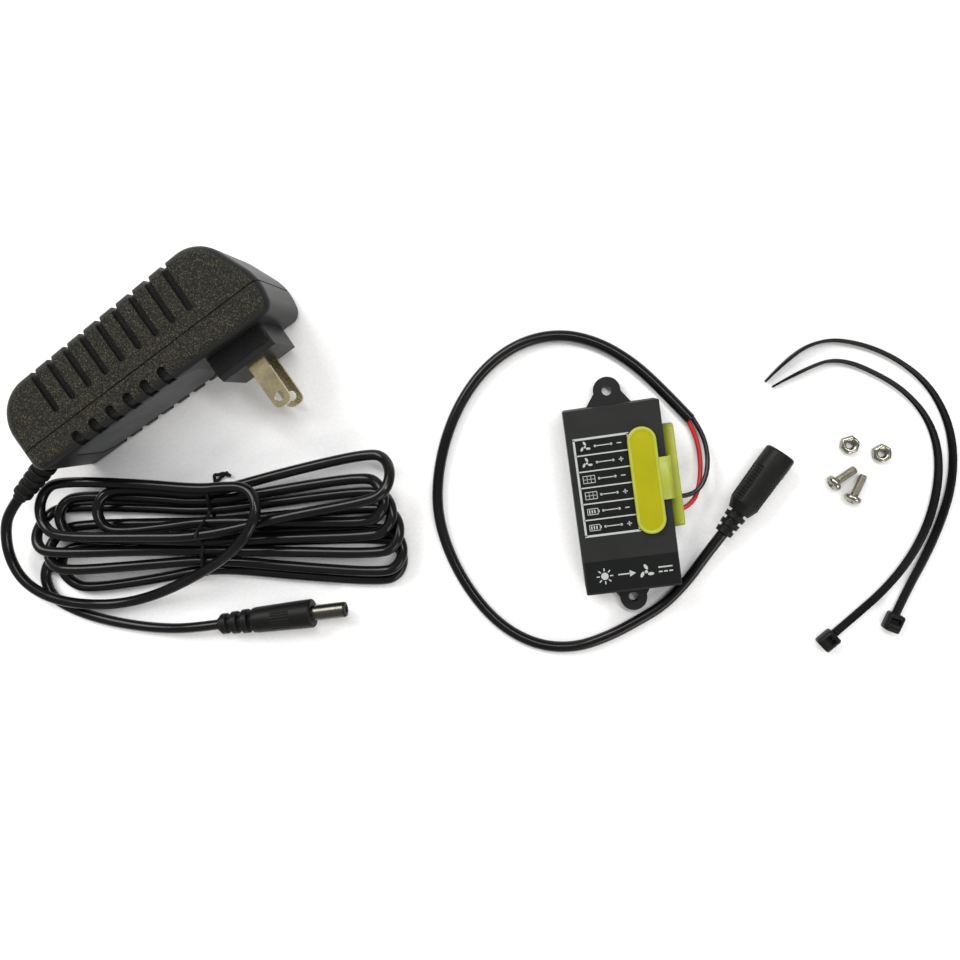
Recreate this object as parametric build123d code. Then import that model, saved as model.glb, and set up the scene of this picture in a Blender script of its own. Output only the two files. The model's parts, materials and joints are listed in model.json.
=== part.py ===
from build123d import *
import math
import os

# Power kit of a solar attic fan: a plug-in supply with its cord in a tied hank, a six-way fan
# controller with a jack lead, two cable ties and the controller's screws and nuts.
# Millimetres.  The origin is the middle of the controller's mounting face, +Y runs along the
# controller, +X points to its wire side and +Z is up, so z = 0 is the surface it all lies on.

# ---- controller case ----
CASE_W = 32.0
CASE_L = 62.0
CASE_H = 15.5
CASE_CORNER = 0.8
CASE_TAPER = 1.5
CASE_WALL = 1.8
FLOOR = 1.6
SEAM_Z = 5.0
LIP = 1.5
EAR_PITCH = 71.4
EAR_R = 4.6
EAR_T = 3.0
EAR_FOOT = 8.2
EAR_HOLE_R = 1.7

# ---- terminals ----
ROWS = 6
PITCH = 5.08
ROW_MID_Y = 5.0
SCREW_X = 8.4
HEAD_R = 1.9
SHANK_R = 1.25
RUN_FIT = 0.05
WIRE_Z = 7.6
BLOCK_X = (4.0, 13.6)
BLOCK_Z = (3.8, 13.4)
CAGE_Z = (6.2, 11.3)
BAR_Z = (8.3, 8.8)
BOARD_Z = (2.6, 3.8)
BOARD_W = 26.0
BOARD_L = 56.0
POST_X = 11.0
POST_Y = 26.0

# ---- silicone terminal cover ----
PILL_W = 9.4
PILL_L = 35.2
PILL_Z = (15.6, 16.9)
PLUG_W = 7.4
PLUG_L = 32.4
SLOT_W = 8.0
SLOT_L = 33.0
HINGE_X = 16.35
WEB_W = 14.0
WEB_T = 1.0
BEND_R = 0.5
SEAL_X = (16.1, 19.6)
SEAL_L = 34.4
SEAL_Z = (4.2, 11.0)
WINDOW_L = 31.2
WINDOW_Z = (5.7, 9.5)

# ---- leads ----
CORD_D = 3.75
WIRE_D = 1.6
CORE_D = 1.1
JACK_R = 5.3
JACK_L = 32.7
JACK_MOUTH = (53.8, 7.1, JACK_R)
JACK_TURN = 48.0
PLUG_R = 5.1
PLUG_START = (-147.6, -27.6, PLUG_R)
BARREL_R = 2.75
BARREL_L = 12.0

# ---- supply: its own axes are length, back and up, turned on the table ----
SUPPLY_AT = (-187.0, 44.0)
SUPPLY_TURN = 26.5
SUPPLY_W = 34.0
SHELL = 2.4
EDGE_R = 3.2
GROOVE = 1.2
VENT_PITCH = 7.0
VENT_W = 2.4
NOTCH_PITCH = 7.2
NOTCH_W = 3.2
NOSE_L = (63.0, 84.5)
NOSE_FRONT = -18.0
NOSE_W = 23.0
BLADE_W = 6.35
BLADE_T = 1.5
BLADE_GAP = 12.7
BLADE_OUT = 17.2
BLADE_L_MID = 74.8
BOOT_ROOT = (-2.6, -0.4, 17.2)
BOOT_TIP = (-27.0, -4.9, 13.8)
BOOT_R = 4.2

# ---- hank ----
HANK_H = 12.0
TIE_T = 1.3

# ---- fixings ----
M3_HEAD_R = 2.8
M3_HEAD_H = 2.2
M3_R = 1.47
M3_LONG = 8.0
NUT_AF = 5.5
NUT_H = 2.4

# ---- cable ties ----
STRAP_W = 3.6
STRAP_T = 1.2
TIE_HEAD = (6.0, 5.0, 4.6)

LEAD_ROUTE = [
    (31.9, -17.2, 5.3), (25.2, -24.6, 3.8), (19.6, -34.6, 2.1), (9.8, -42.2, 1.95),
    (-1.2, -47.6, 1.95), (-13.0, -50.8, 1.95), (-25.4, -51.2, 1.95), (-36.6, -47.8, 1.95),
    (-46.8, -40.0, 1.95), (-55.0, -28.6, 1.95), (-60.6, -15.0, 1.95), (-62.9, -1.0, 1.95),
    (-61.4, 12.8, 1.95), (-56.8, 26.0, 1.95), (-49.6, 38.2, 1.95), (-39.6, 48.2, 1.95),
    (-27.0, 54.6, 1.95), (-13.6, 55.8, 1.95), (-1.4, 51.6, 1.95), (9.4, 43.4, 1.95),
    (18.6, 33.0, 1.95), (26.3, 22.2, 1.95),
]
BLACK_ROUTE = [
    (27.0, 22.7, 1.95), (29.2, 18.2, 2.2), (30.4, 12.2, 3.2), (29.9, 5.8, 4.8),
    (27.4, 0.4, 6.6), (23.6, -2.5, 7.5), (18.0, -2.62, 7.6), (12.4, -2.62, 7.6),
]
RED_ROUTE = [
    (25.6, 21.7, 1.95), (27.2, 17.6, 1.6), (28.0, 12.0, 1.8), (27.8, 6.0, 2.6),
    (26.4, -0.2, 4.0), (23.8, -5.0, 6.0), (18.4, -7.6, 7.5), (12.6, -7.7, 7.6),
]
CORD_OUT_ROUTE = [
    (-215.2, 22.9, 12.4), (-219.8, 15.4, 9.4), (-221.4, 6.6, 7.4),
    (-218.4, -2.0, 7.2), (-211.6, -8.4, 7.2), (-203.0, -12.6, 6.6), (-193.4, -15.4, 3.6),
    (-182.6, -16.0, 2.2), (-172.0, -14.6, 2.6), (-161.8, -12.0, 5.4), (-152.0, -8.6, 10.2),
    (-142.0, -4.6, 14.6), (-132.4, 0.4, 16.4), (-125.0, 6.8, 16.4), (-121.2, 14.2, 15.6),
    (-125.4, 20.2, 14.4), (-133.6, 21.2, 12.4),
]
CORD_TAIL_ROUTE = [
    (-204.6, 8.6, 2.0), (-210.2, 3.0, 2.0), (-213.2, -3.8, 2.0), (-210.8, -11.2, 2.0),
    (-203.0, -16.8, 2.0), (-192.4, -21.6, 2.0), (-180.4, -25.2, 2.0), (-168.4, -27.4, 3.0),
    (-157.4, -27.8, 4.9), PLUG_START,
]
HANK_OUTLINE = [
    (-208.0, 14.0), (-198.0, 28.4), (-172.0, 31.0), (-140.0, 22.5), (-112.0, 21.5),
    (-86.0, 26.4), (-77.0, 12.0), (-77.0, -13.0), (-90.0, -20.3), (-120.0, -13.5),
    (-155.0, -7.0), (-190.0, -8.0), (-204.0, -1.0),
]
TIE_ROUTE_1 = [
    (64.2, -57.4), (73.5, -50.8), (83.0, -43.6), (91.4, -35.0), (98.4, -24.4),
    (102.8, -12.6), (104.5, -1.0), (103.0, 9.4), (98.5, 18.3), (91.0, 26.4), (76.4, 35.7),
    (65.0, 33.4), (54.4, 29.0),
]
TIE_ROUTE_2 = [
    (85.2, -53.0), (90.2, -44.2), (97.2, -33.6), (103.4, -22.0), (107.6, -10.8),
    (109.2, 1.0), (107.8, 12.4), (103.0, 23.4), (94.4, 32.6), (83.6, 39.2), (72.4, 42.3),
    (61.4, 38.8), (52.3, 31.0),
]


def save(name, shape):
    export_step(shape, f"parts/{name}.step")


def group(*solids):
    return Compound(children=list(solids))


def block(x, y, z):
    size = Box(x[1] - x[0], y[1] - y[0], z[1] - z[0])
    return Pos((x[0] + x[1]) / 2, (y[0] + y[1]) / 2, (z[0] + z[1]) / 2) * size


def post(x, y, radius, z):
    return Pos(x, y, (z[0] + z[1]) / 2) * Cylinder(radius, z[1] - z[0])


def about(middle, width):
    return (middle - width / 2, middle + width / 2)


def row_y(index):
    return ROW_MID_Y + ((ROWS - 1) / 2 - index) * PITCH


def bend_radii(points):
    places = [Vector(*point) for point in points]
    radii = []
    for before, here, after in zip(places, places[1:], places[2:]):
        turn = (here - before).get_angle(after - here)
        run = min((here - before).length, (after - here).length)
        radii.append(0.45 * run / math.tan(math.radians(turn / 2)))
    return radii


def swept(name, points, section):
    radii = bend_radii(points)
    path = FilletPolyline(*points, radius=radii)
    solid = sweep(Plane(origin=path @ 0, z_dir=path % 0) * section, path=path)
    wanted = section.area * path.length
    print(name, "length", round(path.length, 1), "radii", [round(r, 1) for r in radii],
          "volume ratio", round(solid.volume / wanted, 4))
    return solid


def turned(points):
    """A solid of revolution about X from (along, radius) corners."""
    corners = [(points[0][0], 0.0), *points, (points[-1][0], 0.0)]
    face = make_face(Polyline(*corners, close=True))
    return revolve(face, Axis.X)


# ---------------------------------------------------------------- controller case

def case_block(inset, low, high):
    outline = RectangleRounded(CASE_W - 2 * inset, CASE_L - 2 * inset, CASE_CORNER)
    whole = extrude(outline, amount=CASE_H, taper=CASE_TAPER)
    return whole & block((-CASE_W, CASE_W), (-CASE_L, CASE_L), (low, high))


def ear(side):
    hole_y = side * EAR_PITCH / 2
    foot_y = side * (CASE_L / 2 - 1.0)
    tip = Pos(0, hole_y) * Circle(EAR_R)
    foot = [(-EAR_FOOT, foot_y), (EAR_FOOT, foot_y), (EAR_R * 0.9, hole_y), (-EAR_R * 0.9, hole_y)]
    plate = extrude(tip + make_face(Polyline(*foot, close=True)), amount=EAR_T)
    return plate - post(0, hole_y, EAR_HOLE_R, (-1, EAR_T + 1))


def case_base():
    inner_w = CASE_W - 2 * CASE_WALL
    inner_l = CASE_L - 2 * CASE_WALL
    base = case_block(0, 0, SEAM_Z) - block(about(0, inner_w), about(0, inner_l), (FLOOR, SEAM_Z + 1))
    base += ear(1) + ear(-1)
    for x in (-POST_X, POST_X):
        for y in (-POST_Y, POST_Y):
            base += post(x, y, 1.7, (FLOOR - 0.2, BOARD_Z[0])) + post(x, y, 0.8, (FLOOR, BOARD_Z[1] + 0.5))
    return base


def stadium(width, length):
    return Pos(SCREW_X, ROW_MID_Y) * SlotOverall(length, width, rotation=90)


def case_lid():
    inner_w = CASE_W - 2 * CASE_WALL - 0.8
    inner_l = CASE_L - 2 * CASE_WALL - 0.8
    lid = case_block(0, SEAM_Z, CASE_H)
    lid -= block(about(0, inner_w), about(0, inner_l), (SEAM_Z - 1, CASE_H - FLOOR))
    lip_w = CASE_W - 2 * CASE_WALL - 0.2
    lip_l = CASE_L - 2 * CASE_WALL - 0.2
    lip = block(about(0, lip_w), about(0, lip_l), (SEAM_Z - LIP, SEAM_Z + 1))
    lip -= block(about(0, lip_w - 1.6), about(0, lip_l - 1.6), (SEAM_Z - LIP - 1, SEAM_Z + 2))
    lip -= block((12.0, 15.0), about(ROW_MID_Y, 31.8), (SEAM_Z - LIP - 1, SEAM_Z + 2))
    lid += lip
    lid -= Pos(0, 0, CASE_H - FLOOR - 1) * extrude(stadium(SLOT_W, SLOT_L), amount=FLOOR + 2)
    return lid - block((10, 20), about(ROW_MID_Y, WINDOW_L), WINDOW_Z)


# ---------------------------------------------------------------- terminal cover

def cover_flap():
    pill = Pos(0, 0, PILL_Z[0]) * extrude(stadium(PILL_W, PILL_L), amount=PILL_Z[1] - PILL_Z[0])
    pill = fillet(pill.faces().sort_by(Axis.Z)[-1].edges(), 0.5)
    bottom = CASE_H - FLOOR - 0.2
    pill += Pos(0, 0, bottom) * extrude(stadium(PLUG_W, PLUG_L), amount=PILL_Z[0] - bottom)
    web = block((SCREW_X + PILL_W / 2 - 1, HINGE_X - 0.2), about(ROW_MID_Y, WEB_W),
                (PILL_Z[0], PILL_Z[0] + WEB_T))
    bend = Pos(HINGE_X, ROW_MID_Y, PILL_Z[0]) * (Rot(90, 0, 0) * Cylinder(BEND_R, WEB_W))
    return pill + web + bend


def side_seal():
    strip = block(SEAL_X, about(ROW_MID_Y, SEAL_L), SEAL_Z)
    strip = fillet(strip.edges().filter_by(Axis.X), 2.2)
    strip = fillet(strip.faces().sort_by(Axis.X)[-1].edges(), 0.6)
    plug_z = (WINDOW_Z[0] + 0.1, WINDOW_Z[1] - 0.1)
    seal = strip + block((13.9, SEAL_X[0] + 0.1), about(ROW_MID_Y, WINDOW_L - 0.3), plug_z)
    seal += block((SEAL_X[0], SEAL_X[0] + WEB_T), about(ROW_MID_Y, WEB_W), (SEAL_Z[1] - 0.5, 14.4))
    for index in (4, 5):
        hole = Pos(17, row_y(index), WIRE_Z) * (Rot(0, 90, 0) * Cylinder(WIRE_D / 2 + 0.01, 9))
        seal -= hole
    return seal


# ---------------------------------------------------------------- terminals

def terminal_housing():
    length = ROWS * PITCH + 0.6
    body = block(BLOCK_X, about(ROW_MID_Y, length), BLOCK_Z)
    for index in range(ROWS):
        y = row_y(index)
        body -= block((4.8, 11.0), about(y, 4.4), (4.6, 11.5))
        body -= block((4.8, 5.9), about(y, 2.4), (BLOCK_Z[0] - 1, 5.0))
        body -= post(SCREW_X, y, 1.4, (11.0, 12.5)) + post(SCREW_X, y, 2.1, (12.1, 14.0))
        body -= block((10.5, 14.0), about(y, 3.2), (6.2, 9.0))
    return body


def terminal_bars():
    bars = []
    for index in range(ROWS):
        y = row_y(index)
        leg = block((5.0, 5.6), about(y, 2.0), (1.9, BAR_Z[1]))
        bars.append(leg + block((5.0, 10.2), about(y, 2.0), BAR_Z))
    return group(*bars)


def terminal_screw(index):
    y = row_y(index)
    screw = post(SCREW_X, y, HEAD_R, (12.2, 13.3)) + post(SCREW_X, y, SHANK_R, (9.1, 12.3))
    return screw - block(about(SCREW_X, 5), about(y, 0.6), (12.7, 14))


def clamp_cage(index):
    y = row_y(index)
    cage = block(about(SCREW_X, 3.2), about(y, 3.8), CAGE_Z)
    cage -= block(about(SCREW_X, 4), about(y, 2.7), (7.0, 10.5))
    return cage - post(SCREW_X, y, SHANK_R + RUN_FIT, (10, 12))


def control_board():
    board = block(about(0, BOARD_W), about(0, BOARD_L), BOARD_Z)
    for x in (-POST_X, POST_X):
        for y in (-POST_Y, POST_Y):
            board -= post(x, y, 0.9, (2, 5))
    for index in range(ROWS):
        board -= block((4.9, 5.7), about(row_y(index), 2.2), (2, 5))
    return board


def gull_legs(x, y, half, span, count):
    legs = []
    for side in (-1, 1):
        for index in range(count):
            leg_y = y + (index - (count - 1) / 2) * 1.27
            legs.append(block(about(x + side * (half + 0.5), 1.2), about(leg_y, 0.4), span))
    return legs


def control_chip():
    top = BOARD_Z[1]
    body = block(about(-3.0, 3.9), about(8.0, 4.9), (top + 0.15, top + 1.6))
    for leg in gull_legs(-3.0, 8.0, 1.95, (top, top + 0.4), 4):
        body += leg
    return body


def power_transistor(y):
    top = BOARD_Z[1]
    body = block(about(-8.5, 6.5), about(y, 6.1), (top + 0.2, top + 2.3))
    body += block(about(-8.5, 5.2), about(y + 3.6, 1.6), (top, top + 0.6))
    for x in (-10.8, -6.2):
        body += block(about(x, 0.8), about(y - 4.0, 2.4), (top, top + 0.5))
    return body


def blocking_diode(y):
    top = BOARD_Z[1]
    body = block(about(-1.2, 6.0), about(y, 5.6), (top + 0.1, top + 2.3))
    return body + block(about(-1.2, 7.8), about(y, 2.6), (top, top + 0.5))


def smoothing_capacitor(x, y):
    can = post(x, y, 3.15, (BOARD_Z[1], BOARD_Z[1] + 7.6))
    return fillet(can.faces().sort_by(Axis.Z)[-1].edges(), 0.5)


# ---------------------------------------------------------------- jack and plug

def jack_place():
    return Location(JACK_MOUTH, (0, 0, JACK_TURN))


def jack_body():
    profile = [(0.0, 5.0), (-0.6, JACK_R), (-5.0, JACK_R), (-5.4, 5.0), (-20.5, 4.9), (-23.6, 3.6)]
    for index in range(3):
        start = -24.2 - 2.9 * index
        size = 3.5 - 0.25 * index
        profile += [(start, 2.6), (start - 1.0, 2.6), (start - 1.0, size), (start - 2.9, size)]
    profile[-1] = (-JACK_L, 2.9)
    profile[-2] = (profile[-2][0], 2.9)
    body = turned(profile)
    return jack_place() * (body - turned([(1.0, 3.6), (-12.0, 3.6)]))


def jack_sleeve():
    return jack_place() * (turned([(-0.6, 3.6), (-11.0, 3.6)]) - turned([(1.0, 2.9), (-12.0, 2.9)]))


def jack_insulator():
    return jack_place() * (turned([(-11.0, 3.6), (-12.0, 3.6)]) - turned([(-10.5, 1.0), (-12.5, 1.0)]))


def jack_pin():
    return jack_place() * turned([(-1.8, 0.4), (-2.4, 1.0), (-12.0, 1.0)])


def plug_place():
    return Pos(*PLUG_START)


def plug_body():
    profile = [(0.0, 2.6)]
    for index in range(3):
        start = 1.0 + 4.0 * index
        size = 3.7 + 0.3 * index
        profile += [(start, 2.6), (start, size), (start + 2.4, size), (start + 2.4, 2.6)]
    profile += [(12.8, 2.6), (12.9, 4.4), (14.5, 4.7), (28.0, PLUG_R), (28.4, 4.8), (34.6, 4.7), (35.2, 4.2)]
    body = turned(profile)
    return plug_place() * (body - turned([(26.0, BARREL_R), (36.0, BARREL_R)]))


def plug_barrel():
    end = 35.2 + BARREL_L - 0.8
    return plug_place() * (turned([(26.0, BARREL_R), (end, BARREL_R)]) - turned([(25.0, 2.3), (50.0, 2.3)]))


def plug_insulator():
    end = 35.2 + BARREL_L
    tube = turned([(26.0, 2.3), (end - 0.8, 2.3), (end - 0.8, 2.6), (end - 0.2, 2.6), (end, 2.3)])
    return plug_place() * (tube - turned([(25.0, 1.45), (50.0, 1.45)]))


def plug_contact():
    end = 35.2 + BARREL_L - 1.0
    return plug_place() * (turned([(26.0, 1.45), (end, 1.45)]) - turned([(27.0, 1.05), (50.0, 1.05)]))


# ---------------------------------------------------------------- supply

def supply_place():
    return Location((SUPPLY_AT[0], SUPPLY_AT[1], 0), (0, 0, SUPPLY_TURN))


def supply_block(inset):
    corners = [(-5, -8), (91.5, -10), (93.5, 1), (84, 22.5), (-5, 20)]
    outline = FilletPolyline(*corners, radius=[4.0, 4.5, 18.0, 13.0, 14.0], close=True)
    face = make_face(outline)
    if inset:
        face = offset(face, amount=-inset)
    solid = Pos(0, 0, inset) * extrude(face, amount=SUPPLY_W - 2 * inset)
    rims = solid.faces().sort_by(Axis.Z)
    return fillet(rims[0].edges() + rims[-1].edges(), max(EDGE_R - inset, 0.6))


def boot_plane():
    reach = Vector(*BOOT_TIP) - Vector(*BOOT_ROOT)
    return Plane(origin=BOOT_ROOT, z_dir=reach)


def boot_length():
    return (Vector(*BOOT_TIP) - Vector(*BOOT_ROOT)).length


def boot_hole():
    return boot_plane() * (Pos(0, 0, 0) * Cylinder(BOOT_R + 0.02, 12))


def supply_boot():
    length = boot_length()
    plane = boot_plane()
    boot = Pos(0, 0, (length - 1.2) / 2) * Cone(3.4, 2.6, length + 1.2)
    boot += Pos(0, 0, 0.6) * Cylinder(BOOT_R, 3.6)
    boot += Pos(0, 0, -1.6) * Cylinder(BOOT_R + 1.4, 1.6)
    for index in range(7):
        size = BOOT_R - 0.12 * index
        boot += Pos(0, 0, 4.4 + 2.9 * index) * Cylinder(size, 1.7)
    return plane * boot


def tip_slots(places, width, reach, side, tip):
    """Round-tipped cutters that run out over one long edge, on both flat sides."""
    cutters = []
    for along in places:
        for low, high in ((-1, reach), (SUPPLY_W - reach, SUPPLY_W + 1)):
            across = tuple(sorted((tip, tip + side * 30)))
            cutters.append(block(about(along, width), across, (low, high)))
            cutters.append(post(along, tip, width / 2, (low, high)))
    return cutters


def label_panel(width, height, low, high):
    """A chamfered panel on the front face, from depth low to depth high below it."""
    tilt = math.atan2(2.0, 96.5)
    normal = Vector(-math.sin(tilt), -math.cos(tilt), 0)
    plane = Plane(origin=Vector(32.0, -8.77, SUPPLY_W / 2) - normal * high,
                  x_dir=Vector(math.cos(tilt), -math.sin(tilt), 0), z_dir=normal)
    face = Rectangle(width, height)
    face = chamfer(face.vertices(), 4.0)
    return extrude(plane * face, amount=high - low)


def supply_covers():
    outer = supply_block(0)
    skin = outer - supply_block(GROOVE)
    shell = outer - supply_block(SHELL)
    half = block((-20, 120), (0, 40), (-5, 40))
    seam = (outer - supply_block(0.4)) & block((-20, 120), (-0.25, 0.25), (-5, 40))
    vents = tip_slots([14.0 + VENT_PITCH * i for i in range(9)], VENT_W, 8.0, 1, 5.6)
    notches = tip_slots([14.3 + NOTCH_PITCH * i for i in range(6)], NOTCH_W, 7.0, -1, -5.4)
    back = (shell & half) - seam - boot_hole()
    for cutter in vents:
        back -= skin & cutter
    nose_z = about(SUPPLY_W / 2, NOSE_W)
    nose = block(NOSE_L, (NOSE_FRONT, -8.0), nose_z)
    nose = chamfer(nose.edges().group_by(Axis.Y)[0].filter_by(Axis.X), 1.6)
    nose = fillet(nose.edges().group_by(Axis.X)[-1].filter_by(Axis.Y), 1.5)
    hollow = block((NOSE_L[0] + 2, NOSE_L[1] - 2), (NOSE_FRONT + 2.4, -4.0), about(SUPPLY_W / 2, NOSE_W - 4))
    front = (shell - half) + nose - hollow
    front -= seam
    front -= boot_hole()
    front -= label_panel(52.0, 24.0, -3.0, 0.6)
    for cutter in notches:
        front -= skin & cutter
    for blade in blades(0.05):
        front -= blade
    return back, front


def blades(extra=0.0):
    pair = []
    for side in (-1, 1):
        z = SUPPLY_W / 2 + side * BLADE_GAP / 2
        tip = NOSE_FRONT - BLADE_OUT
        flat = Plane.XY.offset(z - BLADE_T / 2 - extra)
        length = BLADE_OUT + 13.0
        face = Pos(BLADE_L_MID, tip + length / 2) * Rectangle(BLADE_W + 2 * extra, length)
        if not extra:
            face = fillet(face.vertices().group_by(Axis.Y)[0], 2.4)
            face -= Pos(BLADE_L_MID, tip + 3.6) * Circle(1.75)
        pair.append(flat * extrude(face, amount=BLADE_T + 2 * extra))
    return pair


def blade_carrier():
    carrier = block((65.4, 84.0 - 2.0), (-8.6, -5.6), about(SUPPLY_W / 2, 18.6))
    for blade in blades(0.0):
        carrier -= blade
    return carrier


def supply_board():
    return block((1.0, 63.0), (-5.0, -3.4), about(SUPPLY_W / 2, 26.0))


def standing(along, up, radius, height):
    """A round can that stands on the board, its axis pointing to the back."""
    can = Rot(-90, 0, 0) * Cylinder(radius, height)
    return Pos(along, -3.4 + height / 2, up) * can


def transformer():
    core = block((24, 43), (0.2, 15.5), about(17, 16.0)) - block((28.2, 38.8), (2.6, 13.1), (0, 40))
    core += block((31.0, 36.0), (0.2, 15.5), about(17, 5.0))
    coil = block((28.4, 38.6), (2.8, 12.9), about(17, 14.0)) - block((31.0, 36.0), (0, 16), about(17, 5.0))
    bobbin = block((25.0, 42.0), (-3.4, 0.2), about(17, 18.0))
    return core, coil, bobbin


def supply_parts():
    core, coil, bobbin = transformer()
    sink = block((46.0, 47.4), (-3.4, 14.5), about(17, 22.0)) + block((46.0, 54.0), (13.1, 14.5), about(17, 22.0))
    switch = block((47.4, 51.6), (-1.0, 9.0), about(17, 10.0))
    fuse = standing(66.0 - 6.0, 26.5, 2.6, 8.0)
    bridge = block((53.0, 61.0), (-3.4, 3.4), about(10.5, 8.0))
    return {
        "supply_transformer_core": core, "supply_transformer_coil": coil, "supply_bobbin": bobbin,
        "supply_heat_sink": sink, "supply_switch": switch, "supply_fuse": fuse,
        "supply_bridge": bridge, "supply_input_capacitor": standing(69.6, 13.5, 5.0, 16.0),
        "supply_output_capacitors": group(standing(9.5, 10.5, 4.0, 13.0), standing(9.5, 23.5, 4.0, 13.0)),
        "supply_filter_choke": standing(18.6, 17.0, 3.6, 9.0) - standing(18.6, 17.0, 1.2, 12.0),
    }


# ---------------------------------------------------------------- cord hank and ties

def hank():
    outline = make_face(Spline(*HANK_OUTLINE, periodic=True))
    return extrude(outline, amount=HANK_H)


def twist_tie():
    band = Box(32.0, TIE_T, HANK_H + 1.4) - Box(29.4, 3, HANK_H - 1.0)
    return Location((-139.3, 8.2, (HANK_H + 1.4) / 2), (0, 0, 65.5)) * band


def cable_tie(name, route, turn):
    points = [(x, y, STRAP_W / 2) for x, y in route]
    path_start = Vector(*points[0])
    strap = swept(name, points, Rectangle(STRAP_T, STRAP_W))
    head = Box(*TIE_HEAD) - Pos(0, 0, 0) * Box(TIE_HEAD[0] - 2.2, 9, 1.6)
    head_at = (path_start.X, path_start.Y, TIE_HEAD[2] / 2)
    back = Pos(-TIE_HEAD[0] / 2 + 0.6, 0, 0)
    return (Location(head_at, (0, 0, turn)) * (back * head)) + strap


def m3_screw(x, y, turn):
    """A pan-head screw lying on its head's rim and its tip."""
    drop = math.degrees(math.asin((M3_HEAD_R - M3_R) / M3_LONG))
    head = Pos(-M3_HEAD_H / 2, 0, 0) * (Rot(0, 90, 0) * Cylinder(M3_HEAD_R, M3_HEAD_H))
    head = fillet(head.faces().sort_by(Axis.X)[0].edges(), 0.9)
    cross = Pos(-M3_HEAD_H, 0, 0) * (Box(2.4, 0.6, 2.9) + Box(2.4, 2.9, 0.6))
    shank = Pos(M3_LONG / 2 - 0.2, 0, 0) * (Rot(0, 90, 0) * Cylinder(M3_R, M3_LONG + 0.4))
    screw = Rot(0, drop, 0) * (head - cross + shank)
    lowest = screw.bounding_box().min.Z
    return Location((x, y, -lowest), (0, 0, turn)) * screw


def m3_nut(x, y, turn):
    nut = extrude(RegularPolygon(NUT_AF / 2, 6, major_radius=False), amount=NUT_H)
    nut -= post(0, 0, 1.55, (-1, NUT_H + 1))
    return Location((x, y, 0), (0, 0, turn)) * nut


def wire_tail(index, start):
    tail = Rot(0, 90, 0) * Cylinder(CORE_D / 2, start - 7.0)
    return Pos((7.0 + start) / 2, row_y(index), WIRE_Z) * tail


def main():
    os.makedirs("parts", exist_ok=True)
    save("case_base", case_base())
    save("case_lid", case_lid())
    save("cover_flap", cover_flap())
    save("side_seal", side_seal())
    save("terminal_housing", terminal_housing())
    save("terminal_bars", terminal_bars())
    for index in range(ROWS):
        save(f"terminal_screw_{index + 1}", terminal_screw(index))
        save(f"clamp_cage_{index + 1}", clamp_cage(index))
    save("control_board", control_board())
    save("control_chip", control_chip())
    save("power_transistors", group(power_transistor(19.0), power_transistor(-1.5)))
    save("blocking_diodes", group(blocking_diode(15.6), blocking_diode(0.6)))
    save("smoothing_capacitors", group(smoothing_capacitor(-8.0, -20.5), smoothing_capacitor(0.5, -21.0)))
    save("lead_jacket", swept("lead_jacket", LEAD_ROUTE, Circle(CORD_D / 2)))
    save("lead_wire_black", swept("lead_wire_black", BLACK_ROUTE, Circle(WIRE_D / 2)))
    save("lead_wire_red", swept("lead_wire_red", RED_ROUTE, Circle(WIRE_D / 2)))
    save("wire_tails", group(wire_tail(4, 12.4), wire_tail(5, 12.6)))
    save("jack_body", jack_body())
    save("jack_sleeve", jack_sleeve())
    save("jack_insulator", jack_insulator())
    save("jack_pin", jack_pin())
    save("plug_body", plug_body())
    save("plug_barrel", plug_barrel())
    save("plug_insulator", plug_insulator())
    save("plug_contact", plug_contact())
    place = supply_place()
    back, front = supply_covers()
    save("supply_back_cover", place * back)
    save("supply_front_cover", place * front)
    save("supply_label", place * label_panel(51.6, 23.6, 0.2, 0.6))
    save("supply_blades", place * group(*blades()))
    save("blade_carrier", place * blade_carrier())
    save("supply_board", place * supply_board())
    for name, shape in supply_parts().items():
        save(name, place * shape)
    save("cord_boot", place * supply_boot())
    tip = place.position + Vector(*BOOT_TIP).rotate(Axis.Z, SUPPLY_TURN)
    cord_out = [(tip.X, tip.Y, tip.Z), *CORD_OUT_ROUTE]
    save("supply_cord_out", swept("supply_cord_out", cord_out, Circle(CORD_D / 2)))
    save("supply_cord_hank", hank())
    save("supply_cord_tail", swept("supply_cord_tail", CORD_TAIL_ROUTE, Circle(CORD_D / 2)))
    save("twist_tie", twist_tie())
    save("cable_tie_1", cable_tie("cable_tie_1", TIE_ROUTE_1, 35.0))
    save("cable_tie_2", cable_tie("cable_tie_2", TIE_ROUTE_2, 60.0))
    save("mounting_screws", group(m3_screw(70.6, -5.2, 25.5), m3_screw(75.8, -10.8, 56.0)))
    save("mounting_nuts", group(m3_nut(76.8, 6.4, 10.0), m3_nut(86.6, 2.2, 24.0)))


main()
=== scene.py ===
"""The looks of the solar attic fan power kit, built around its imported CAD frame.  Metres."""
import json
import math

import bmesh
import bpy
import numpy as np
from mathutils import Matrix, Vector


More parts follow.
